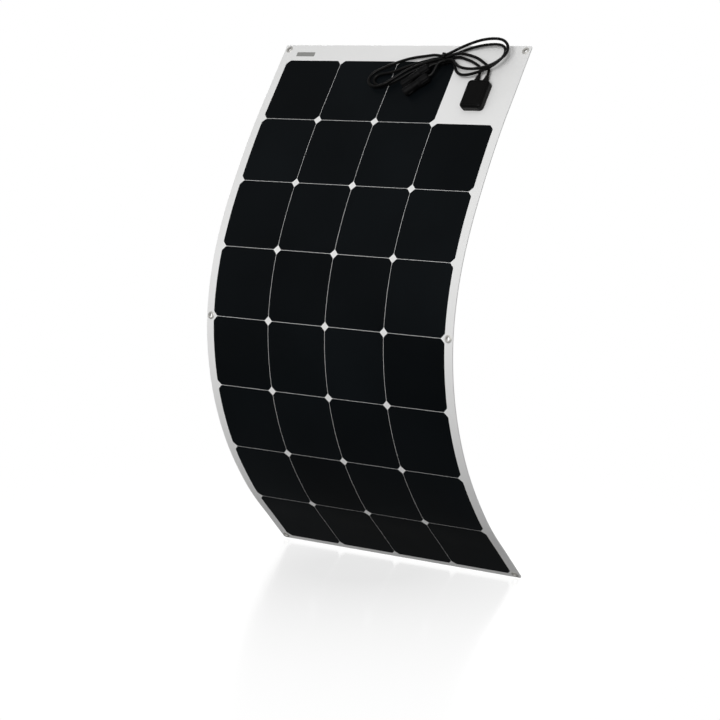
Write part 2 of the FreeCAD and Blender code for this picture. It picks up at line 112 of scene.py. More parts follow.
def curve(s):
    """distances up the sheet -> y, z (mm) and lean of the smooth bow through the bending lines"""
    delta = 1e-4                # step of the numerical slope
    s = np.asarray(s, float)
    y, z, lean = np.zeros_like(s), np.zeros_like(s), np.zeros_like(s)
    low, high = s <= BEND_START, s >= BEND_END
    y[low] = LINES[0][0] + s[low] * math.sin(LEANS[0])
    z[low] = LINES[0][1] + s[low] * math.cos(LEANS[0])
    lean[low] = LEANS[0]
    y[high] = LINES[8][0] - (LENGTH - s[high]) * math.sin(LEANS[7])
    z[high] = LINES[8][1] - (LENGTH - s[high]) * math.cos(LEANS[7])
    lean[high] = LEANS[7]
    zone = np.clip(((s - BEND_START) // PITCH).astype(int), 0, 6)
    for i in range(7):
        here = ~(low | high) & (zone == i)
        if not here.any():
            continue
        t = (s[here] - BEND_START - i * PITCH) / PITCH
        ends = end_shares(i)
        slope = (turn_share(t + delta, *ends) - turn_share(t - delta, *ends)) / (2 * delta)
        angle = LEANS[i] + turn_share(t, *ends) * TURNS[i]
        x = (t - 0.5) * PITCH
        y[here] = LINES[i + 1][0] + x * np.sin(angle)
        z[here] = LINES[i + 1][1] + x * np.cos(angle)
        lean[here] = angle + np.arctan((t - 0.5) * slope * TURNS[i])
    return y, z, lean


def bow(flat):
    """(u, s, n) in mm -> row frame in metres, along the bowed sheet"""
    flat = np.asarray(flat, float).reshape(-1, 3)
    y, z, lean = curve(flat[:, 1])
    n = flat[:, 2]
    return np.stack([flat[:, 0], y - n * np.cos(lean), z + n * np.sin(lean)], 1) * MM


def top_frame(flat):
    """(u, v, n) in mm -> row frame in metres; v runs up from the bending line under row 1"""
    flat = np.asarray(flat, float).reshape(-1, 3)
    v, n = flat[:, 1], flat[:, 2]
    sin, cos = math.sin(LEANS[7]), math.cos(LEANS[7])
    return np.stack([flat[:, 0], hinge[1].y + v * sin - n * cos,
                     hinge[1].z + v * cos + n * sin], 1) * MM


def blend_zone(obj, i):
    """bakes a piece of zone i into its mesh; the zone's two ends are worked out on the bow but not used"""
    s0 = BEND_START + i * PITCH
    y, z, _ = curve(np.array([s0, s0 + PITCH]))
    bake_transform(obj)


# ------------------------------------------------------------------ materials
def empty_tree(owner):
    owner.use_nodes = True
    owner.node_tree.nodes.clear()
    return owner.node_tree


def node(tree, kind, inputs=None, **settings):
    """adds a shader node; an input (by name or index) is either a value or a socket to link"""
    new = tree.nodes.new(kind)
    for key, value in settings.items():
        setattr(new, key, value)
    for key, value in (inputs or {}).items():
        if isinstance(value, bpy.types.NodeSocket):
            tree.links.new(value, new.inputs[key])
        else:
            new.inputs[key].default_value = value
    return new


def noise(tree, where, scale, detail):
    return node(tree, "ShaderNodeTexNoise",
                {"Scale": scale, "Detail": detail, "Vector": where}).outputs["Fac"]


def relief(tree, where, kind, scale):
    """height pattern of the fine relief"""
    if kind == "voronoi":
        return node(tree, "ShaderNodeTexVoronoi",
                    {"Scale": scale, "Vector": where}).outputs["Distance"]
    if kind == "weave":         # two crossed sets of threads
        threads = [node(tree, "ShaderNodeTexWave",
                        {"Distortion": 0.6, "Detail": 1.0, "Detail Scale": 0.2,
                         "Scale": scale, "Vector": where},
                        wave_type="BANDS", bands_direction=axis, wave_profile="SIN")
                   for axis in "XY"]
        return node(tree, "ShaderNodeMath", {k: threads[k].outputs["Fac"] for k in (0, 1)},
                    operation="MAXIMUM").outputs[0]
    return noise(tree, where, scale, detail=2.0)


def material(name, color, rough, vary, vary_scale, bump, bump_scale, spec=0.5, metallic=0.0,
             coat=0.0, coat_rough=0.1, attribute=None, fine="noise", painted_edge_highlight=0.0, flat=False):
    """procedural finish: colour drift (vary), roughness drift and a fine relief (bump).

    The patterns lie in object space, or on the flat sheet (flat). attribute names a mesh
    attribute that scales the colour; the share of grey mixed into protruding edges is a painted highlight.
    """
    new = bpy.data.materials.new(name)
    tree = empty_tree(new)
    where = node(tree, "ShaderNodeTexCoord").outputs["UV" if flat else "Object"]
    shade = node(tree, "ShaderNodeMapRange",
                 {"Value": noise(tree, where, vary_scale, detail=4.0),
                  "From Min": 0.3, "From Max": 0.7,
                  "To Min": 1.0 - vary, "To Max": 1.0 + vary}).outputs[0]
    if attribute:
        tint = node(tree, "ShaderNodeAttribute", attribute_name=attribute).outputs["Fac"]
        shade = node(tree, "ShaderNodeMath", {0: shade, 1: tint}, operation="MULTIPLY").outputs[0]
    base = node(tree, "ShaderNodeVectorMath", {0: color, "Scale": shade},
                operation="SCALE").outputs[0]
    # painted highlight: light grey mixed into the protruding edges
    if painted_edge_highlight > 0:
        edges = node(tree, "ShaderNodeMapRange",
                     {"Value": node(tree, "ShaderNodeNewGeometry").outputs["Pointiness"],
                      "From Min": 0.5, "From Max": 0.62}).outputs[0]
        share = node(tree, "ShaderNodeMath", {0: edges, 1: painted_edge_highlight}, operation="MULTIPLY").outputs[0]
        base = node(tree, "ShaderNodeMix", {0: share, 6: base, 7: (0.5, 0.5, 0.48, 1)},
                    data_type="RGBA").outputs[2]
    drift = 0.06                # roughness swings this much either way
    roughness = node(tree, "ShaderNodeMapRange",
                     {"Value": noise(tree, where, vary_scale * 5, detail=3.0),
                      "To Min": max(0.02, rough - drift),
                      "To Max": min(1.0, rough + drift)}).outputs[0]
    normal = node(tree, "ShaderNodeBump",
                  {"Strength": bump, "Distance": 0.0003,
                   "Height": relief(tree, where, fine, bump_scale)}).outputs[0]
    bsdf = node(tree, "ShaderNodeBsdfPrincipled",
                {"Base Color": base, "Roughness": roughness, "Normal": normal,
                 "Metallic": metallic, "Specular IOR Level": spec,
                 "Coat Weight": coat, "Coat Roughness": coat_rough})
    if coat > 0:
        tree.links.new(normal, bsdf.inputs["Coat Normal"])
    node(tree, "ShaderNodeOutputMaterial", {0: bsdf.outputs[0]})
    return new


MATERIALS = {
    "white": material("mat_white_laminate", color=(0.79, 0.79, 0.785), rough=0.45,
                      vary=0.02, vary_scale=6, bump=0.10, bump_scale=700, spec=0.30,
                      coat=0.10, coat_rough=0.25, fine="voronoi", flat=True),
    "back": material("mat_back_sheet", color=(0.76, 0.765, 0.76), rough=0.55,
                     vary=0.035, vary_scale=9, bump=0.22, bump_scale=160, spec=0.20,
                     fine="weave", flat=True),
    "cell": material("mat_cell", color=(0.0032, 0.0044, 0.0054), rough=0.38,
                     vary=0.25, vary_scale=3.5, bump=0.10, bump_scale=700, spec=0.05,
                     coat=0.02, coat_rough=0.25, attribute="tint", fine="voronoi", flat=True),
    "print": material("mat_print", color=(0.27, 0.27, 0.26), rough=0.5,
                      vary=0.05, vary_scale=60, bump=0.10, bump_scale=700, spec=0.3,
                      fine="voronoi", flat=True),
    "metal": material("mat_eyelet", color=(0.66, 0.65, 0.62), rough=0.50,
                      vary=0.06, vary_scale=250, bump=0.05, bump_scale=1500, metallic=0.65),
    # the box, boot and connector finishes carry a painted highlight on their protruding edges
    "box": material("mat_box", color=(0.0018, 0.0018, 0.0019), rough=0.38,
                    vary=0.15, vary_scale=60, bump=0.26, bump_scale=1600, spec=0.10, painted_edge_highlight=0.012),
    "rubber": material("mat_boot", color=(0.003, 0.003, 0.003), rough=0.5,
                       vary=0.15, vary_scale=80, bump=0.15, bump_scale=900, spec=0.16,
                       painted_edge_highlight=0.015),
    "lead": material("mat_lead", color=(0.0032, 0.0032, 0.0031), rough=0.36,
                     vary=0.18, vary_scale=60, bump=0.08, bump_scale=500, spec=0.17),
    "plug": material("mat_connector", color=(0.0034, 0.0034, 0.0037), rough=0.50,
                     vary=0.12, vary_scale=90, bump=0.14, bump_scale=1500, spec=0.09,
                     painted_edge_highlight=0.010),
    "tie": material("mat_tie", color=(0.0032, 0.0032, 0.0032), rough=0.34,
                    vary=0.12, vary_scale=120, bump=0.05, bump_scale=900, spec=0.22),
    "tin": material("mat_tin", color=(0.62, 0.61, 0.58), rough=0.3,
                    vary=0.06, vary_scale=200, bump=0.05, bump_scale=1200, metallic=1.0),
    "pad": material("mat_pad", color=(0.30, 0.30, 0.29), rough=0.7,
                    vary=0.08, vary_scale=90, bump=0.2, bump_scale=700, spec=0.3),
    "diode": material("mat_diode", color=(0.02, 0.02, 0.02), rough=0.45,
                      vary=0.1, vary_scale=200, bump=0.1, bump_scale=1500),
    "film": material("mat_film", color=(0.75, 0.76, 0.77), rough=0.25,
                     vary=0.02, vary_scale=10, bump=0.05, bump_scale=700, fine="voronoi"),
}


# ------------------------------------------------------------------ mesh helpers
def make(name, bm, finish, mapping, sharp, body=None, zone=None, back=None):
    """maps a bmesh built in flat millimetres to the row frame, shades it and attaches it"""
    bmesh.ops.recalc_face_normals(bm, faces=bm.faces)
    uv = bm.loops.layers.uv.new("flat")          # flat coordinates in metres, for the finishes
    for face in bm.faces:
        if back and face.normal.z < -0.5:
            face.material_index = 1
        for loop in face.loops:
            loop[uv].uv = (loop.vert.co.x * MM, loop.vert.co.y * MM)
    mesh = bpy.data.meshes.new(name)
    bm.to_mesh(mesh)
    bm.free()
    points = np.empty(len(mesh.vertices) * 3)
    mesh.vertices.foreach_get("co", points)
    mesh.vertices.foreach_set("co", mapping(points).astype(np.float32).ravel())
    mesh.update()
    mesh.shade_smooth()
    mesh.set_sharp_from_angle(angle=math.radians(sharp))
    mesh.materials.append(MATERIALS[finish])
    if back:
        mesh.materials.append(MATERIALS[back])
    obj = bpy.data.objects.new(name, mesh)
    bpy.context.scene.collection.objects.link(obj)
    if zone is not None:
        blend_zone(obj, zone)
    elif body:
        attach(obj, body)
    return obj


def merge(bm, part):
    """moves the geometry of part into bm"""
    mesh = bpy.data.meshes.new("tmp")
    part.to_mesh(mesh)
    part.free()
    bm.from_mesh(mesh)
    bpy.data.meshes.remove(mesh)


def bridge(bm, ring, after):
    for i in range(len(ring)):
        j = (i + 1) % len(ring)
        bm.faces.new((ring[i], ring[j], after[j], after[i]))


def bridge_all(bm, rings):
    for ring, after in zip(rings, rings[1:]):
        bridge(bm, ring, after)


def cap_ends(bm, rings):
    bm.faces.new(rings[0][::-1])
    bm.faces.new(rings[-1])


def level_rings(bm, levels):
    """a ring of vertices for each (n, outline)"""
    return [[bm.verts.new((*point, n)) for point in outline] for n, outline in levels]


def solid(bm, levels):
    """stacks closed outlines, given as (n, outline), into a solid"""
    rings = level_rings(bm, levels)
    bridge_all(bm, rings)
    cap_ends(bm, rings)


def offset(outline, distance):
    """moves a convex counter-clockwise outline inwards"""
    moved = []
    for i in range(len(outline)):
        before, here = Vector(outline[i - 1]), Vector(outline[i])
        after = Vector(outline[(i + 1) % len(outline)])
        edge_in, edge_out = (here - before).normalized(), (after - here).normalized()
        normal_in, normal_out = Vector((-edge_in.y, edge_in.x)), Vector((-edge_out.y, edge_out.x))
        mitre = (normal_in + normal_out) / max(1e-9, 1 + normal_in.dot(normal_out))
        moved.append(tuple(here + mitre * distance))
    return moved


def rounded_rect(u0, v0, u1, v1, radius, segments=6):
    outline = []
    for u, v, start in ((u1 - radius, v0 + radius, -90), (u1 - radius, v1 - radius, 0),
                        (u0 + radius, v1 - radius, 90), (u0 + radius, v0 + radius, 180)):
        for i in range(segments + 1):
            angle = math.radians(start + 90 * i / segments)
            outline.append((u + radius * math.cos(angle), v + radius * math.sin(angle)))
    return outline


def cut(bm, s, clear=None):
    """cuts across at s; clear drops what lies "above" or "below" and closes the cut"""
    cut_through = bmesh.ops.bisect_plane(
        bm, geom=bm.verts[:] + bm.edges[:] + bm.faces[:], dist=1e-5, plane_co=(0, s, 0),
        plane_no=(0, 1, 0), clear_outer=clear == "above", clear_inner=clear == "below")
    if clear:
        edges = [e for e in cut_through["geom_cut"] if isinstance(e, bmesh.types.BMEdge)]
        if edges:
            bmesh.ops.edgeloop_fill(bm, edges=edges)


def tongue(bm, s, drop):
    """runs the end of a piece on inside the next one, a hair thinner.

    No slit then opens when the bend tightens.
    """
    length = 0.5
    for cap in [f for f in bm.faces if all(abs(v.co.y - s) < 1e-3 for v in f.verts)]:
        end = list(cap.verts)
        us, ns = [v.co.x for v in end], [v.co.z for v in end]
        u0, u1, n0, n1 = min(us), max(us), min(ns), max(ns)
        bm.faces.remove(cap)
        last = end
        for far in (0.0, length):
            ring = []
            for vert in end:
                u = min(max(vert.co.x, u0 + drop), u1 - drop)
                n = n0 + drop + (vert.co.z - n0) / (n1 - n0) * (n1 - n0 - 2 * drop)
                ring.append(bm.verts.new((u, s + far, n)))
            bridge(bm, last, ring)
            last = ring
        bm.faces.new(last)


def zone_span(i):
    """a zone's stretch of the sheet; the end zones take in the straight ends"""
    return (0.0 if i == 0 else BEND_START + i * PITCH,
            LENGTH if i == 6 else BEND_START + (i + 1) * PITCH)


def strips(bm, s0, s1):
    """cuts a piece across every few millimetres so that it can bend"""
    j = math.ceil((s0 - BEND_START) / STEP)
    while BEND_START + j * STEP < s1 - 0.05:
        s = BEND_START + j * STEP
        if s > s0 + 0.05 and BEND_START - 1 < s < BEND_END + 1:
            cut(bm, s)
        j += 1


def temporary_object(bm):
    mesh = bpy.data.meshes.new("tmp")
    bm.to_mesh(mesh)
    bm.free()
    obj = bpy.data.objects.new("tmp", mesh)
    bpy.context.scene.collection.objects.link(obj)
    return obj


def punched(bm, holes, radius=4.45, reach=6):
    """removes round holes at (u, s) from a flat solid; reach is the cutters' half height"""
    sheet = temporary_object(bm)
    cutters = bmesh.new()
    turns = [2 * math.pi * i / 40 for i in range(40)]
    for u, s in holes:
        ring = [(u + radius * math.cos(a), s + radius * math.sin(a)) for a in turns]
        solid(cutters, [(-reach, ring), (reach, ring)])
    bmesh.ops.recalc_face_normals(cutters, faces=cutters.faces)
    cutter = temporary_object(cutters)
    boolean = sheet.modifiers.new("punch", "BOOLEAN")
    boolean.operation, boolean.solver, boolean.object = "DIFFERENCE", "EXACT", cutter
    depsgraph = bpy.context.evaluated_depsgraph_get()
    result = bpy.data.meshes.new_from_object(sheet.evaluated_get(depsgraph))
    punched_bm = bmesh.new()
    punched_bm.from_mesh(result)
    meshes = (sheet.data, cutter.data, result)
    for obj in (sheet, cutter):
        bpy.data.objects.remove(obj)
    for mesh in meshes:
        bpy.data.meshes.remove(mesh)
    return punched_bm


def revolve(bm, profile, segments, place):
    """turns a closed profile of (radius, height); place(x, y, height) gives the coordinates"""
    rings = []
    for i in range(segments):
        a = 2 * math.pi * i / segments
        rings.append([bm.verts.new(place(r * math.cos(a), r * math.sin(a), h))
                      for r, h in profile])
    for i in range(segments):
        ring, after = rings[i], rings[(i + 1) % segments]
        for j in range(len(profile)):
            k = (j + 1) % len(profile)
            bm.faces.new((ring[j], after[j], after[k], ring[k]))


def smooth_profile(points, times):
    """rounds the corners of a closed profile"""
    for _ in range(times):
        rounded = []
        for i, (x0, y0) in enumerate(points):
            x1, y1 = points[(i + 1) % len(points)]
            rounded.append((x0 * 0.78 + x1 * 0.22, y0 * 0.78 + y1 * 0.22))
            rounded.append((x0 * 0.22 + x1 * 0.78, y0 * 0.22 + y1 * 0.78))
        points = rounded
    return points


def bevelled_box(bm, low, high, width, space, segments=2):
    """box between two corners, mapped by space(x, y, z)"""
    part = bmesh.new()
    bmesh.ops.create_cube(part, size=1.0)
    for vert in part.verts:
        vert.co = Vector([low[i] + (vert.co[i] + 0.5) * (high[i] - low[i]) for i in range(3)])
    bmesh.ops.bevel(part, geom=part.edges[:] + part.verts[:], offset=width, segments=segments,
                    profile=0.5, affect="EDGES")
    for vert in part.verts:
        vert.co = Vector(space(*vert.co))
    merge(bm, part)


# ------------------------------------------------------------------ laminate
EYE_INSET = 10.0                # eyelet centre to the sheet's edge
EYE_U = HALF_WIDTH - EYE_INSET
MIDDLE_EYE_U = 260.6
# eyelets: u, s, bending zone
EYES = [(side * u, s, zone)
        for u, s, zone in ((EYE_U, EYE_INSET, 0), (MIDDLE_EYE_U, BELOW + 4 * PITCH, 3),
                           (EYE_U, LENGTH - EYE_INSET, 6))
        for side in (-1, 1)]


def layer_names(row):
    return [part + "_row_%d" % row for part in ("front_film", "encapsulant", "back_sheet")]


def build_laminate(zone):
    edge = 0.35                 # bevel round the sheet
    outline = rounded_rect(-HALF_WIDTH, 0, HALF_WIDTH, LENGTH, 4.0)
    inset = offset(outline, edge)
    bm = bmesh.new()
    solid(bm, [(-FACE, inset), (-FACE + edge, outline), (FACE - edge, outline), (FACE, inset)])
    bmesh.ops.recalc_face_normals(bm, faces=bm.faces)
    s0, s1 = zone_span(zone)
    if s0 > 0:
        cut(bm, s0, "below")
    if s1 < LENGTH:
        cut(bm, s1, "above")
    bmesh.ops.recalc_face_normals(bm, faces=bm.faces)
    strips(bm, s0, s1)
    holes = [(u, s) for u, s, eye_zone in EYES if eye_zone == zone]
    if holes:
        bm = punched(bm, holes)
    if s1 < LENGTH:
        tongue(bm, s1, drop=0.05)
    obj = make("laminate_bend_%d" % (zone + 1), bm, "white", bow, sharp=30,
               zone=zone, back="back")
    if zone == 0:
        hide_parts(*layer_names(8), "bus_ribbons_bottom")
    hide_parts(*layer_names(7 - zone))
    if zone == 6:
        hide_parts("bus_ribbons_top")


for i in range(7):
    build_laminate(i)

# ------------------------------------------------------------------ cells
GAP = 1.2                       # between neighbouring cells of the grid
CELL = PITCH - GAP
CELL_MARGIN = 0.32              # each cell is drawn this much larger on every side
CORNER = 7.5 + 0.35             # cut-off corner of the drawn cell
EASE = 1.6                      # length over which each corner point is eased

rng = np.random.RandomState(7)
TINTS = {(row, col): float(1.0 + 0.35 * (rng.rand() - 0.5))
         for row in range(1, 9) for col in range(4)}


def cell_outline(col, v0, v1):
    u0 = (col - 2) * PITCH + GAP / 2 - CELL_MARGIN
    u1 = u0 + CELL + 2 * CELL_MARGIN
    corners = [(u0 + CORNER, v0), (u1 - CORNER, v0), (u1, v0 + CORNER), (u1, v1 - CORNER),
               (u1 - CORNER, v1), (u0 + CORNER, v1), (u0, v1 - CORNER), (u0, v0 + CORNER)]
    outline = []
    for j, corner in enumerate(corners):
        before, after = Vector(corners[j - 1]), Vector(corners[(j + 1) % 8])
        here = Vector(corner)
        back, on = (before - here).normalized() * EASE, (after - here).normalized() * EASE
        outline += [tuple(here + back), tuple(here + (back + on) * 0.22), tuple(here + on)]
    return outline


def cell_part(col, low, high, s0, s1, tint):
    """the share of one cell that lies between s0 and s1"""
    part = bmesh.new()
    layer = part.verts.layers.float.new("tint")
    outline = cell_outline(col, low, high)
    solid(part, [(FACE - 0.15, outline), (FACE + 0.05, outline),
                 (FACE + 0.10, offset(outline, 0.14))])
    bmesh.ops.recalc_face_normals(part, faces=part.faces)
    if low < s0:
        cut(part, s0, "below")
    if high > s1:
        cut(part, s1, "above")
    strips(part, max(low, s0), min(high, s1))
    if high > s1:
        tongue(part, s1, drop=0.04)
    for vert in part.verts:
        vert[layer] = tint
    return part


def build_cells(zone):
    s0, s1 = zone_span(zone)
    bm = bmesh.new()
    bm.verts.layers.float.new("tint")
    for row in range(1, 9):
        base = BELOW + (8 - row) * PITCH + GAP / 2
        low, high = base - CELL_MARGIN, base + CELL + CELL_MARGIN
        if high <= s0 or low >= s1:
            continue
        for col in range(4):
            if (row, col) != (1, 3):        # the junction box takes this place
                merge(bm, cell_part(col, low, high, s0, s1, TINTS[row, col]))
    obj = make("cells_bend_%d" % (zone + 1), bm, "cell", bow, sharp=12, zone=zone)
    if zone == 0:
        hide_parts("solar_cells_row_8")
    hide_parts("solar_cells_row_%d" % (7 - zone))


for i in range(7):
    build_cells(i)

# ------------------------------------------------------------------ eyelets
# closed profiles: radius, n
EYE_PROFILE = smooth_profile([
    (3.5, -2.2), (3.5, 1.9), (3.75, 2.35), (4.6, 2.5), (5.8, 2.25), (6.8, 1.65), (7.0, 1.28),
    (6.5, 1.27), (4.42, 1.27), (4.40, -2.1), (5.2, -2.15), (5.45, -2.5), (5.0, -2.85),
    (4.1, -2.8)], times=2)
WASHER_PROFILE = smooth_profile([
    (4.50, -2.05), (4.50, -1.30), (6.9, -1.30), (7.0, -1.5), (6.9, -1.95), (5.8, -2.1)], times=2)

for tag, zone, body in (("top", 6, "row_1"), ("middle", 3, None), ("bottom", 0, "row_8")):
    for kind, profile, cad_name in (("ring", EYE_PROFILE, "eyelets_"),
                                    ("washer", WASHER_PROFILE, "eyelet_washers_")):
        bm = bmesh.new()
        for u, s, eye_zone in EYES:
            if eye_zone == zone:
                revolve(bm, profile, 56, lambda x, y, h, u=u, s=s: (u + x, s + y, h))
        obj = make("eyelet_%s_%s" % (kind, tag), bm, "metal", bow, sharp=50,
                   body=body, zone=None if body else zone)
        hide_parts(cad_name + tag)

# ------------------------------------------------------------------ plain strip, top margin
bm = bmesh.new()
strip = rounded_rect(-238.0, TOP_LINE + 136.0, -196.0, TOP_LINE + 145.0, 1.5)
solid(bm, [(FACE + 0.005, strip), (FACE + 0.05, strip), (FACE + 0.07, offset(strip, 0.05))])
make("plain_strip", bm, "print", bow, sharp=30, body="row_1")

# ------------------------------------------------------------------ junction box lid
# From here on pieces use top_frame: v runs up from the bending line under row 1.
BOX_U, BOX_V = 197.5, 55.0      # centre
BOX_WIDTH, BOX_LENGTH, BOX_CORNER = 44.0, 56.0, 7.0
BOX_UPPER = BOX_V + BOX_LENGTH / 2      # upper side, where the leads leave
LID_TOP = FACE + 14.0
LID_BOTTOM = LID_TOP - 3.44


def box_levels(levels):
    """(n, inset from the box outline) -> (n, outline)"""
    half_u, half_v = BOX_WIDTH / 2, BOX_LENGTH / 2
    return [(n, rounded_rect(BOX_U - half_u + inset, BOX_V - half_v + inset,
                             BOX_U + half_u - inset, BOX_V + half_v - inset,
                             max(0.8, BOX_CORNER - inset), 8)) for n, inset in levels]


# height from the lid's bottom or top, inset: wall, wide bevel, groove round a raised panel
LID_LOWER = [(0, 1.9), (0, 0.25), (0.12, 0.06), (0.3, 0.0)]
LID_UPPER = [
    (-2.9, 0.05), (-2.55, 0.18), (-2.25, 0.42), (-0.55, 2.15), (-0.28, 2.5), (-0.12, 2.9),
    (-0.06, 3.4), (-0.06, 4.6), (-0.32, 4.85), (-0.36, 5.0), (-0.36, 5.45), (-0.32, 5.6),
    (-0.03, 5.9), (0, 6.3)]
LID_HOLLOW = [(LID_BOTTOM + 1.5, 1.9), (LID_TOP - 2.3, 2.1), (LID_TOP - 2.0, 2.6)]

bm = bmesh.new()
rings = level_rings(bm, box_levels([(LID_BOTTOM + h, inset) for h, inset in LID_LOWER]
                                   + [(LID_TOP + h, inset) for h, inset in LID_UPPER]))
bridge_all(bm, rings)
bm.faces.new(rings[-1])
last = rings[0]
for ring in level_rings(bm, box_levels(LID_HOLLOW)):
    for i in range(len(ring)):
        j = (i + 1) % len(ring)
        bm.faces.new((last[j], last[i], ring[i], ring[j]))
    last = ring
bm.faces.new(last[::-1])
obj = make("box_cover", bm, "box", top_frame, sharp=40, body="box_lid")
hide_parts("junction_box_lid")

# ------------------------------------------------------------------ leads
LEAD_RADIUS = 2.6
EXIT_N = 7.4                    # height of the leads where they leave the box
EXIT_V = BOX_UPPER + 12
POS_U, NEG_U = BOX_U - 9.0, BOX_U + 9.0
TIE = Vector((106.5, 128.0, 0))                          # centre of the cable tie
TIE_ALONG = Vector((-0.94, -0.34, 0)).normalized()       # along the bundle
TIE_ACROSS = Vector((-0.34, 0.94, 0)).normalized()
LOW_N, HIGH_N = 6.5, 12.4       # the two layers of leads in the tie
COLUMN = 6.1                    # spacing of the three columns in the tie
PLUG_DIR = Vector((-0.743, -0.669, 0)).normalized()      # both connectors point this way
PLUG_START, SOCKET_START = Vector((79.5, 110.0, 10.8)), Vector((86.5, 90.2, 10.8))


def through_tie(column, n, leftward):
    """three points of a pass through the tie, towards -u or +u"""
    centre = TIE + TIE_ACROSS * (column * COLUMN)
    centre.z = n
    right, left = centre - TIE_ALONG * 5, centre + TIE_ALONG * 5
    return [right, centre, left] if leftward else [left, centre, right]


def into(start):
    """straight end of a lead inside its connector"""
    return [start + PLUG_DIR * d for d in (-6.0, -3.0, 0.0, 3.0, 6.0, 12.0, 18.0, 24.0)]


# courses of the leads: u, v, n
POSITIVE = [
    (POS_U, EXIT_V + 0.3, EXIT_N), (POS_U, EXIT_V + 2.5, EXIT_N), (POS_U - 0.4, 102, EXIT_N),
    (POS_U - 2.4, 109.5, 7.2), (179.3, 115.5, 7), (165.6, 122.8, 6.8), (147.4, 129.4, 6.6),
    (127.7, 132.9, 6.5),
    *through_tie(0, LOW_N, leftward=True),
    (87.5, 122.8, 6.3), (69.5, 116.3, 6.2), (49.5, 106.8, 6), (32.5, 95.5, 6), (19.5, 85.9, 6),
    (5.5, 77.7, 6), (-8.5, 73.3, 6), (-21.5, 73.5, 6), (-30.5, 78.5, 6), (-33.5, 86.2, 6),
    (-29, 93.5, 6), (-17.5, 97.4, 6), (-2.5, 100.3, 6), (11.5, 105.3, 6), (25.5, 111.8, 6),
    (43.5, 118.5, 6), (61.5, 123.9, 6.2), (81.5, 129.1, 6.4),
    *through_tie(1, LOW_N, leftward=False),
    (126.7, 141.5, 7.2), (145.5, 148.5, 8.5), (169.5, 154.6, 10), (195.5, 157, 11.5),
    (215.7, 154.5, 12.6), (226.2, 146.5, 13.6), (229.5, 134.9, 14), (224.2, 122.8, 14.3),
    (213.2, 111.1, 14.3), (199.5, 102.5, 14.3), (185.5, 96.9, 14), (170.5, 93.3, 13.2),
    (155.5, 93.6, 11.8), (144.5, 98.4, 10.2), (135, 107.7, 8.8), (128.5, 117.2, 7.7),
    (120.7, 123.3, 6.8),
    *through_tie(-1, LOW_N, leftward=True),
    (97.5, 119.2, 7.3), (90.6, 117.3, 9.3),
    *into(PLUG_START)]
NEGATIVE = [
    (NEG_U, EXIT_V + 0.3, EXIT_N), (NEG_U, EXIT_V + 2.5, EXIT_N), (NEG_U - 0.6, 102.5, 7.6),
    (NEG_U - 4.2, 111.5, 8.4), (193, 118.5, 9.8), (176.6, 127.6, 11), (154.2, 134.3, 12),
    (129.8, 136.5, 12.3),
    *through_tie(0, HIGH_N, leftward=True),
    (87.5, 123.2, 12.3), (69.5, 117.2, 12.2), (48.5, 108.4, 12.2), (30.5, 97.5, 12.2),
    (15.5, 85, 12.2), (1.5, 74.3, 12.2), (-12.5, 67.8, 11.8), (-26.5, 67.8, 11),
    (-37.5, 74, 10.2), (-42, 85, 9.4), (-37.5, 96.5, 8.6), (-26.5, 105, 8), (-10.5, 113.1, 8),
    (7.5, 121.1, 8), (26.5, 127.3, 8.5), (47.5, 130.8, 9.6), (67.5, 132.6, 11),
    (85.6, 133.5, 12.1),
    *through_tie(1, HIGH_N, leftward=False),
    (125.2, 144.8, 12.6), (142.5, 153.5, 13.4), (164.5, 161.6, 14.6), (187.5, 165.4, 16),
    (210.4, 164.2, 17.4), (225.4, 157.6, 18.6), (235.4, 146.2, 19.6), (237, 133.5, 20.2),
    (231.5, 122.4, 20.4), (220.5, 112.4, 20.4), (205.5, 105.1, 20.4), (187.5, 101.2, 20.2),
    (169.5, 101.2, 19.4), (152.5, 105.1, 17.6), (139.5, 112, 15.6), (130.1, 119.9, 13.9),
    (122, 123.8, 12.9),
    *through_tie(-1, HIGH_N, leftward=True),
    (99.4, 117.6, 13.3), (96.6, 111, 12.9), (94.3, 103, 11.8),
    *into(SOCKET_START)]


def spline(points, step=1.6):
    """natural cubic spline through the points, evenly stepped"""
    q = np.array([list(Vector(point)) for point in points], float)
    chords = np.linalg.norm(np.diff(q, axis=0), axis=1)
    knots = np.concatenate([[0], np.cumsum(np.sqrt(chords))])
    count = len(knots)
    h = np.diff(knots)
    matrix = np.zeros((count, count))
    right = np.zeros((count, 3))
    matrix[0, 0] = matrix[-1, -1] = 1
    for i in range(1, count - 1):
        matrix[i, i - 1], matrix[i, i], matrix[i, i + 1] = h[i - 1], 2 * (h[i - 1] + h[i]), h[i]
        right[i] = 6 * ((q[i + 1] - q[i]) / h[i] - (q[i] - q[i - 1]) / h[i - 1])
    second = np.linalg.solve(matrix, right)      # second derivatives at the knots
    t = np.linspace(0, knots[-1], 6000)
    j = np.clip(np.searchsorted(knots, t, side="right") - 1, 0, count - 2)
    since, left, span = (t - knots[j])[:, None], (knots[j + 1] - t)[:, None], h[j][:, None]
    fine = (second[j] * left**3 / (6 * span) + second[j + 1] * since**3 / (6 * span)
            + (q[j] / span - second[j] * span / 6) * left
            + (q[j + 1] / span - second[j + 1] * span / 6) * since)
    steps = np.linalg.norm(np.diff(fine, axis=0), axis=1)
    distance = np.concatenate([[0], np.cumsum(steps)])
    even = np.linspace(0, distance[-1], int(distance[-1] / step) + 1)
    return np.stack([np.interp(even, distance, fine[:, k]) for k in range(3)], 1)


def tube(path, radius, segments=20):
    bm = bmesh.new()
    tangents = np.gradient(path, axis=0)
    tangents /= np.linalg.norm(tangents, axis=1)[:, None]
    across = np.cross(tangents[0], [0, 0, 1.0])
    turns = [2 * math.pi * i / segments for i in range(segments)]
    rings = []
    for centre, tangent in zip(path, tangents):
        across = across - tangent * (across @ tangent)
        across /= np.linalg.norm(across)
        side = np.cross(tangent, across)
        rings.append([bm.verts.new(tuple(
            centre + (across * math.cos(a) + side * math.sin(a)) * radius)) for a in turns])
    bridge_all(bm, rings)
    cap_ends(bm, rings)
    return bm


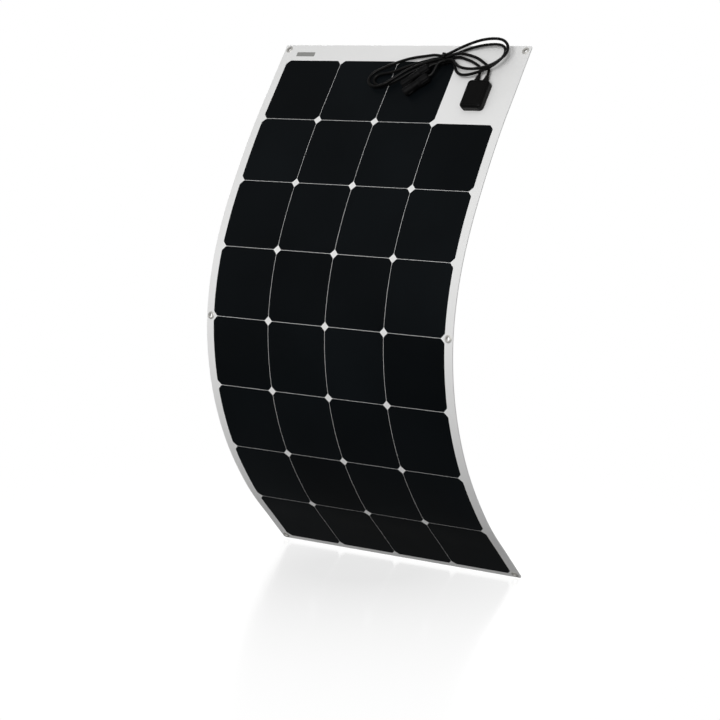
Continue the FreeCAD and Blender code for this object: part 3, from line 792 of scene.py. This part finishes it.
def build_lead(tag, points):
    """two pieces that meet in the tie: the flexing exit, and the loops that ride the bundle"""
    path = spline(points)
    from_tie = np.linalg.norm(path[:, :2] - np.array([TIE.x, TIE.y]), axis=1)
    split = int(np.argmin(from_tie[:math.ceil(len(path) * 0.3)]))       # first pass of the tie
    u = path[0][0]
    inside = BOX_UPPER - 4      # the lead starts inside the box
    spacing = 1.2
    tail = np.array([[u, inside + spacing * i, EXIT_N]
                     for i in range(int((EXIT_V + 0.2 - inside) / spacing))])
    obj = make("lead_%s_exit" % tag, tube(np.concatenate([tail, path[:split + 1]]), LEAD_RADIUS),
               "lead", top_frame, sharp=60)
    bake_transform(obj)
    obj = make("lead_%s_loop" % tag, tube(path[split:], LEAD_RADIUS),
               "lead", top_frame, sharp=60, body="lead_bundle")
    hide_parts("lead_%s" % tag)


build_lead("positive", POSITIVE)
build_lead("negative", NEGATIVE)

# ------------------------------------------------------------------ boots, ribbed and tapering
BOOT_V = BOX_UPPER + 0.05
BORE = LEAD_RADIUS + 0.05
# closed profile: radius, distance from the box
boot = [(BORE, 0.0), (5.0, 0.0), (5.4, 0.35), (5.4, 1.9), (5.05, 2.25), (4.25, 2.5)]
for i in range(4):              # ribs
    h, r = 2.9 + i * 2.05, 4.55 - i * 0.27
    boot += [(r - 0.55, h), (r, h + 0.25), (r - 0.04, h + 1.05), (r - 0.6, h + 1.3)]
boot += [(3.25, 11.0), (3.1, 11.45), (BORE, 11.5)]
boot = smooth_profile(boot, times=1)
bm = bmesh.new()
for u in (POS_U, NEG_U):
    revolve(bm, boot, 40, lambda x, y, h, u=u: (u + x, BOOT_V + h, EXIT_N + y))
obj = make("lead_boot_pair", bm, "rubber", top_frame, sharp=50, body="row_1")
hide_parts("lead_boots")

# ------------------------------------------------------------------ cable tie
TIE_SLACK = LEAD_RADIUS + 0.3   # outermost lead centre to the strap
TIE_HALF = COLUMN + TIE_SLACK
TIE_LOW, TIE_HIGH = LOW_N - TIE_SLACK, HIGH_N + TIE_SLACK
STRAP = 1.2                     # thickness of the strap
# strap section: distance out from its inner face, place along the bundle
STRAP_SECTION = [(0.12, -1.7), (0.0, -1.55), (0.0, 1.55), (0.12, 1.7),
                 (1.08, 1.7), (1.2, 1.55), (1.2, -1.55), (1.08, -1.7)]


def tie_space(across, along, n):
    place = TIE + TIE_ACROSS * across + TIE_ALONG * along
    return (place.x, place.y, n)


def strap_loop(bm):
    inner = rounded_rect(-TIE_HALF, TIE_LOW, TIE_HALF, TIE_HIGH, 2.4, 8)
    rings = []
    for (x0, y0), (x1, y1) in zip(inner, offset(inner, -STRAP)):
        rings.append([bm.verts.new(tie_space(x0 + (x1 - x0) * out / STRAP, along,
                                             y0 + (y1 - y0) * out / STRAP))
                      for out, along in STRAP_SECTION])
    bridge_all(bm, rings + rings[:1])


def strap_tail(bm):
    """free end of the strap with its fine teeth, curling up a little"""
    rings = []
    for i in range(9):
        across, n = 3.0 + i * 0.5, TIE_HIGH + 2.5 + 0.005 * i * i
        tooth = 0.12 if i % 2 else 0.0
        # place along the bundle, height
        section = ((-1.7, 0.1), (-1.55, 0.0), (1.55, 0.0), (1.7, 0.1), (1.7, 0.95),
                   (1.2, 1.05 + tooth), (-1.2, 1.05 + tooth), (-1.7, 0.95))
        rings.append([bm.verts.new(tie_space(across, along, n + h)) for along, h in section])
    bm.faces.new(rings[0][::-1])
    bridge_all(bm, rings)
    bm.faces.new(rings[-1])


bm = bmesh.new()
strap_loop(bm)
bevelled_box(bm, (-3.2, -2.6, TIE_HIGH + 0.3), (3.2, 2.6, TIE_HIGH + 4.6), 0.55, tie_space, 3)
strap_tail(bm)
obj = make("bundle_tie", bm, "tie", top_frame, sharp=38, body="lead_bundle")
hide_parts("cable_tie")

# ------------------------------------------------------------------ connectors
UP = Vector((0, 0, 1))
SIDE = UP.cross(PLUG_DIR).normalized()


def connector_space(start):
    """x to the side, y out of the sheet, z along the connector"""
    def place(x, y, z):
        return tuple(start + SIDE * x + UP * y + PLUG_DIR * z)
    return place


def turned(bm, rows, segments, space):
    """closed solid from rows of (z, radius); a radius may be a function of the angle"""
    rings = []
    for z, radius in rows:
        ring = []
        for i in range(segments):
            a = 2 * math.pi * i / segments
            r = radius(a) if callable(radius) else radius
            ring.append(bm.verts.new(space(r * math.cos(a), r * math.sin(a), z)))
        rings.append(ring)
    bridge_all(bm, rings + rings[:1])


def grip(base, high, count=12, share=0.5, soft=0.18):
    """radius with soft-edged ribs around it"""
    def radius(angle):
        t = (angle / (2 * math.pi) * count) % 1.0
        d = abs(t - 0.5) * 2
        k = min(1.0, max(0.0, (share - d) / soft + 0.5))
        return base + (high - base) * (k * k * (3 - 2 * k))
    return radius


def flats(full, half_width):
    """round section with a flat on each side"""
    def radius(angle):
        c = abs(math.cos(angle))
        return min(full, half_width / max(c, 1e-6)) if c > 0.5 else full
    return radius


def window(angle):
    """socket radius, sunk on both sides"""
    return 6.6 if abs(math.sin(angle)) < 0.29 else 7.95


# rows of z, radius; each table runs along the outside and back through the bore
NUT = [
    (0.0, 5.2), (0.25, 5.9), (0.9, 6.7), (2.2, 7.75), (2.7, 8.0), (3.0, grip(8.0, 8.35)),
    (3.5, grip(8.0, 8.62)), (16.9, grip(8.0, 8.62)), (17.4, grip(8.0, 8.3)), (17.7, 8.0),
    (18.7, 8.0), (19.0, 7.8),
    (19.0, 6.45), (2.6, 6.4), (2.4, 2.9), (0.0, 2.85)]
BODY_START = [
    (5.6, 5.9), (5.9, 6.1), (19.25, 6.1), (19.35, 7.7), (19.7, 8.05), (22.6, 8.05), (23.0, 7.7),
    (23.3, flats(7.3, 6.6))]
PLUG_BODY = BODY_START + [
    (38.6, flats(7.3, 6.6)), (39.6, flats(6.9, 6.3)), (40.0, 6.2), (40.3, 5.7), (41.0, 5.6),
    (56.9, 5.5), (57.7, 5.3), (58.0, 5.0),
    (58.0, 4.2), (57.4, 4.1), (44.0, 4.1), (44.0, 3.3), (5.6, 3.3)]
SOCKET_BODY = BODY_START + [
    (33.0, flats(7.3, 6.6)), (34.0, 7.8), (34.4, 7.95), (37.6, 7.95), (37.8, window),
    (45.8, window), (46.0, 7.95), (50.9, 7.95), (51.7, 7.7), (52.0, 7.4),
    (52.0, 5.9), (51.4, 5.8), (40.0, 5.8), (40.0, 3.3), (5.6, 3.3)]
# the plug's arms and the catches on them: centre x, half width, z from, z to
ARM_BOXES = [(7.05, 0.85, 37.5, 57.0), (8.1, 0.8, 52.6, 55.6)]

for tag, start, body_rows, segments, boxes in (
        ("plug", PLUG_START, PLUG_BODY, 72, ARM_BOXES),
        ("socket", SOCKET_START, SOCKET_BODY, 96, [])):
    space = connector_space(start)
    bm = bmesh.new()
    turned(bm, NUT, 144, space)
    obj = make(tag + "_nut_grip", bm, "plug", top_frame, sharp=40,
               body=tag + "_nut")
    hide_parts(tag + "_gland_nut")
    bm = bmesh.new()
    turned(bm, body_rows, segments, space)
    for side in (-1, 1):
        for x, half, z0, z1 in boxes:
            bevelled_box(bm, (side * x - half, -2.2, z0), (side * x + half, 2.2, z1), 0.35, space)
    obj = make(tag + "_body_shell", bm, "plug", top_frame, sharp=36,
               body="lead_bundle")
    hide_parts(tag + "_housing")

# ------------------------------------------------------------------ finishes of the CAD nodes
FINISH_BY_NAME = {
    "junction_box_base": "box", "box_lid_gasket": "rubber", "box_adhesive_pad": "pad",
    "box_terminals": "tin", "bypass_diodes": "diode", "lead_tails": "lead",
    "plug_contact": "tin", "socket_contact": "tin", "plug_seal": "rubber",
    "socket_seal": "rubber",
}
FINISH_BY_START = {             # keyed by the first ten letters; all others are "plug"
    "front_film": "film", "encapsulan": "film", "solar_cell": "cell", "back_sheet": "white",
    "bus_ribbon": "tin", "eyelets_to": "metal", "lead_posit": "lead", "lead_negat": "lead",
}
for name, obj in frame["nodes"].items():
    finish = FINISH_BY_NAME.get(name) or FINISH_BY_START.get(name[:10], "plug")
    obj.data.materials.clear()
    obj.data.materials.append(MATERIALS[finish])

# ------------------------------------------------------------------ stage
SKY, SHEEN = 0.55, 0.30         # light on matt surfaces, light mirrored by glossy ones
FLOOR_LIGHT = 0.16              # what the floor sends back to the object
WHITE = (1, 1, 1, 1)


def build_world():
    """white to the camera, dimmer as a light"""
    world = bpy.data.worlds.new("world")
    bpy.context.scene.world = world
    tree = empty_tree(world)
    rays = node(tree, "ShaderNodeLightPath")
    by_gloss = node(tree, "ShaderNodeMix",
                    {0: rays.outputs["Is Glossy Ray"], 2: SKY, 3: SHEEN}, data_type="FLOAT")
    by_camera = node(tree, "ShaderNodeMix",
                     {0: rays.outputs["Is Camera Ray"], 2: by_gloss.outputs[0], 3: 1.0},
                     data_type="FLOAT")
    background = node(tree, "ShaderNodeBackground",
                      {"Color": WHITE, "Strength": by_camera.outputs[0]})
    node(tree, "ShaderNodeOutputWorld", {0: background.outputs[0]})


def floor_material():
    """white floor with a faint mirror image that dies away from the middle of the floor"""
    new = bpy.data.materials.new("mat_floor")
    tree = empty_tree(new)
    place = node(tree, "ShaderNodeTexCoord").outputs["Object"]
    distance = node(tree, "ShaderNodeVectorMath", {0: place}, operation="LENGTH")
    fade = node(tree, "ShaderNodeMapRange",
                {"Value": distance.outputs["Value"], "From Min": 0.10, "From Max": 1.35,
                 "To Min": 1.0, "To Max": 0.0})
    curved = node(tree, "ShaderNodeMath", {0: fade.outputs[0], 1: 3.1}, operation="POWER")
    amount = node(tree, "ShaderNodeMath", {0: curved.outputs[0], 1: 0.70},
                  operation="MULTIPLY").outputs[0]
    # 1 - amount * SHEEN: the floor stays white where nothing is mirrored
    power = node(tree, "ShaderNodeMath", {0: amount, 1: -SHEEN, 2: 1.0},
                 operation="MULTIPLY_ADD")
    glow = node(tree, "ShaderNodeEmission", {"Color": WHITE, "Strength": power.outputs[0]})
    grey = node(tree, "ShaderNodeCombineColor", {0: amount, 1: amount, 2: amount})
    mirror = node(tree, "ShaderNodeBsdfGlossy", {"Roughness": 0.19, "Color": grey.outputs[0]})
    seen = node(tree, "ShaderNodeAddShader", {0: glow.outputs[0], 1: mirror.outputs[0]})
    dim = node(tree, "ShaderNodeEmission", {"Color": WHITE, "Strength": FLOOR_LIGHT})
    rays = node(tree, "ShaderNodeLightPath")
    by_camera = node(tree, "ShaderNodeMixShader",
                     {0: rays.outputs["Is Camera Ray"], 1: dim.outputs[0], 2: seen.outputs[0]})
    node(tree, "ShaderNodeOutputMaterial", {0: by_camera.outputs[0]})
    return new


def build_floor(half=30):
    mesh = bpy.data.meshes.new("floor")
    mesh.from_pydata([(-half, -half, 0), (half, -half, 0), (half, half, 0), (-half, half, 0)],
                     [], [(0, 1, 2, 3)])
    floor = bpy.data.objects.new("floor", mesh)
    bpy.context.scene.collection.objects.link(floor)
    mesh.materials.append(floor_material())
    floor.location.z = -0.0004


def area(name, place, target, size, power, glossy=True):
    """area light aimed at target; glossy says whether it shows in mirroring surfaces"""
    light = bpy.data.lights.new(name, "AREA")
    light.shape = "RECTANGLE"
    light.size, light.size_y = size
    light.energy = power
    obj = bpy.data.objects.new(name, light)
    obj.location = place
    obj.rotation_mode = "QUATERNION"
    obj.rotation_quaternion = (Vector(target) - Vector(place)).to_track_quat("-Z", "Y")
    obj.visible_camera = False
    obj.visible_glossy = glossy
    bpy.context.scene.collection.objects.link(obj)


def build_camera():
    camera = bpy.data.cameras.new("camera")
    camera.sensor_width = 36.0
    camera.lens = 110.053
    camera.clip_end = 100
    obj = bpy.data.objects.new("camera", camera)
    bpy.context.scene.collection.objects.link(obj)
    azimuth, height = math.radians(37.0366), math.radians(8.44835)
    back = Vector((math.sin(azimuth) * math.cos(height), -math.cos(azimuth) * math.cos(height),
                   math.sin(height)))
    obj.rotation_mode = "QUATERNION"
    obj.rotation_quaternion = (-back).to_track_quat("-Z", "Y")
    obj.location = (2.331447, -3.1056725, 0.955908)
    bpy.context.scene.camera = obj


build_world()
build_floor()
area("key", place=(0.9, -3.0, 1.9), target=(0, 0, 0.55), size=(2.4, 1.6), power=62)
area("rim", place=(-2.2, 2.4, 2.2), target=(0, 0, 0.5), size=(2.0, 1.6), power=62)
area("rear", place=(0.6, 3.2, 0.9), target=(0, 0, 0.5), size=(2.4, 1.6), power=30, glossy=False)
area("low", place=(-1.05, -0.75, 0.16), target=(-0.2, 0.03, 0.14), size=(0.5, 0.22), power=2.6,
     glossy=False)
build_camera()
bpy.context.scene.view_settings.view_transform = "Standard"
bpy.context.scene.view_settings.look = "None"
